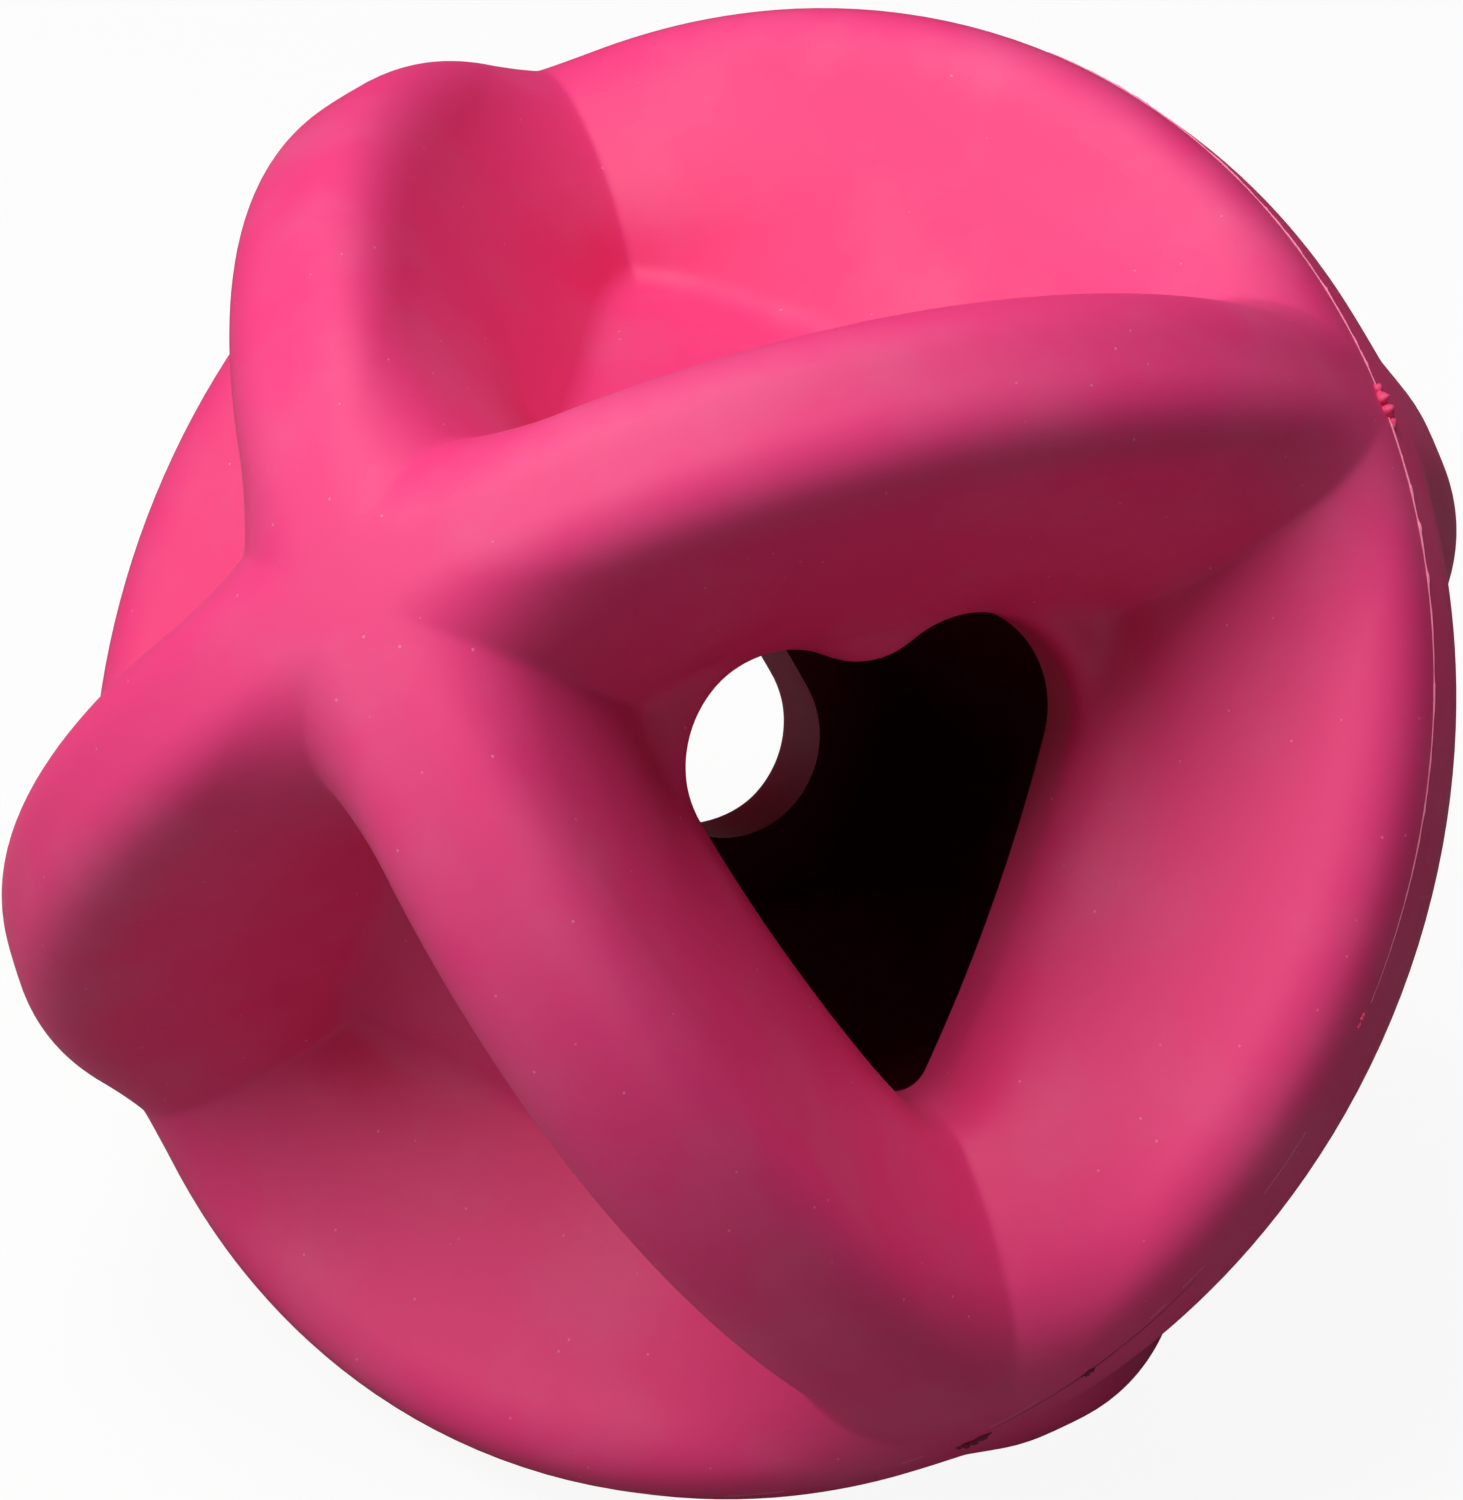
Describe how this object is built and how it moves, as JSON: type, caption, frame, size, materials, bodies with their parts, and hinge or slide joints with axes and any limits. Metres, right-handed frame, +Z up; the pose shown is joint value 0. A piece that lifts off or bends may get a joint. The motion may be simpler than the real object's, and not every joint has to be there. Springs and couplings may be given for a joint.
{
  "type": "treat dispensing dog ball",
  "caption": "Hollow rubber dog ball of crossed ribs with heart-shaped openings on opposite sides, which drops treats as it rolls.",
  "frame": {"origin": "the centre of the ball", "axes": "+Z is up as the ball lies at rest on the rims of a closed pocket, +X is to the right, and the front heart opening looks along -Y and 19.5 degrees upwards"},
  "size_m": [0.08, 0.0748, 0.068],
  "materials": {
    "moulded_rubber": "matte moulded natural rubber, dyed pink through, with a faint bloom",
    "rubber_bond": "cured rubber bond line with a thin trimmed edge of flash"
  },
  "bodies": {
    "root": {"front_half_shell": "moulded_rubber", "rear_half_shell": "moulded_rubber", "seam_bond_ring": "rubber_bond"}
  },
  "joints": []
}
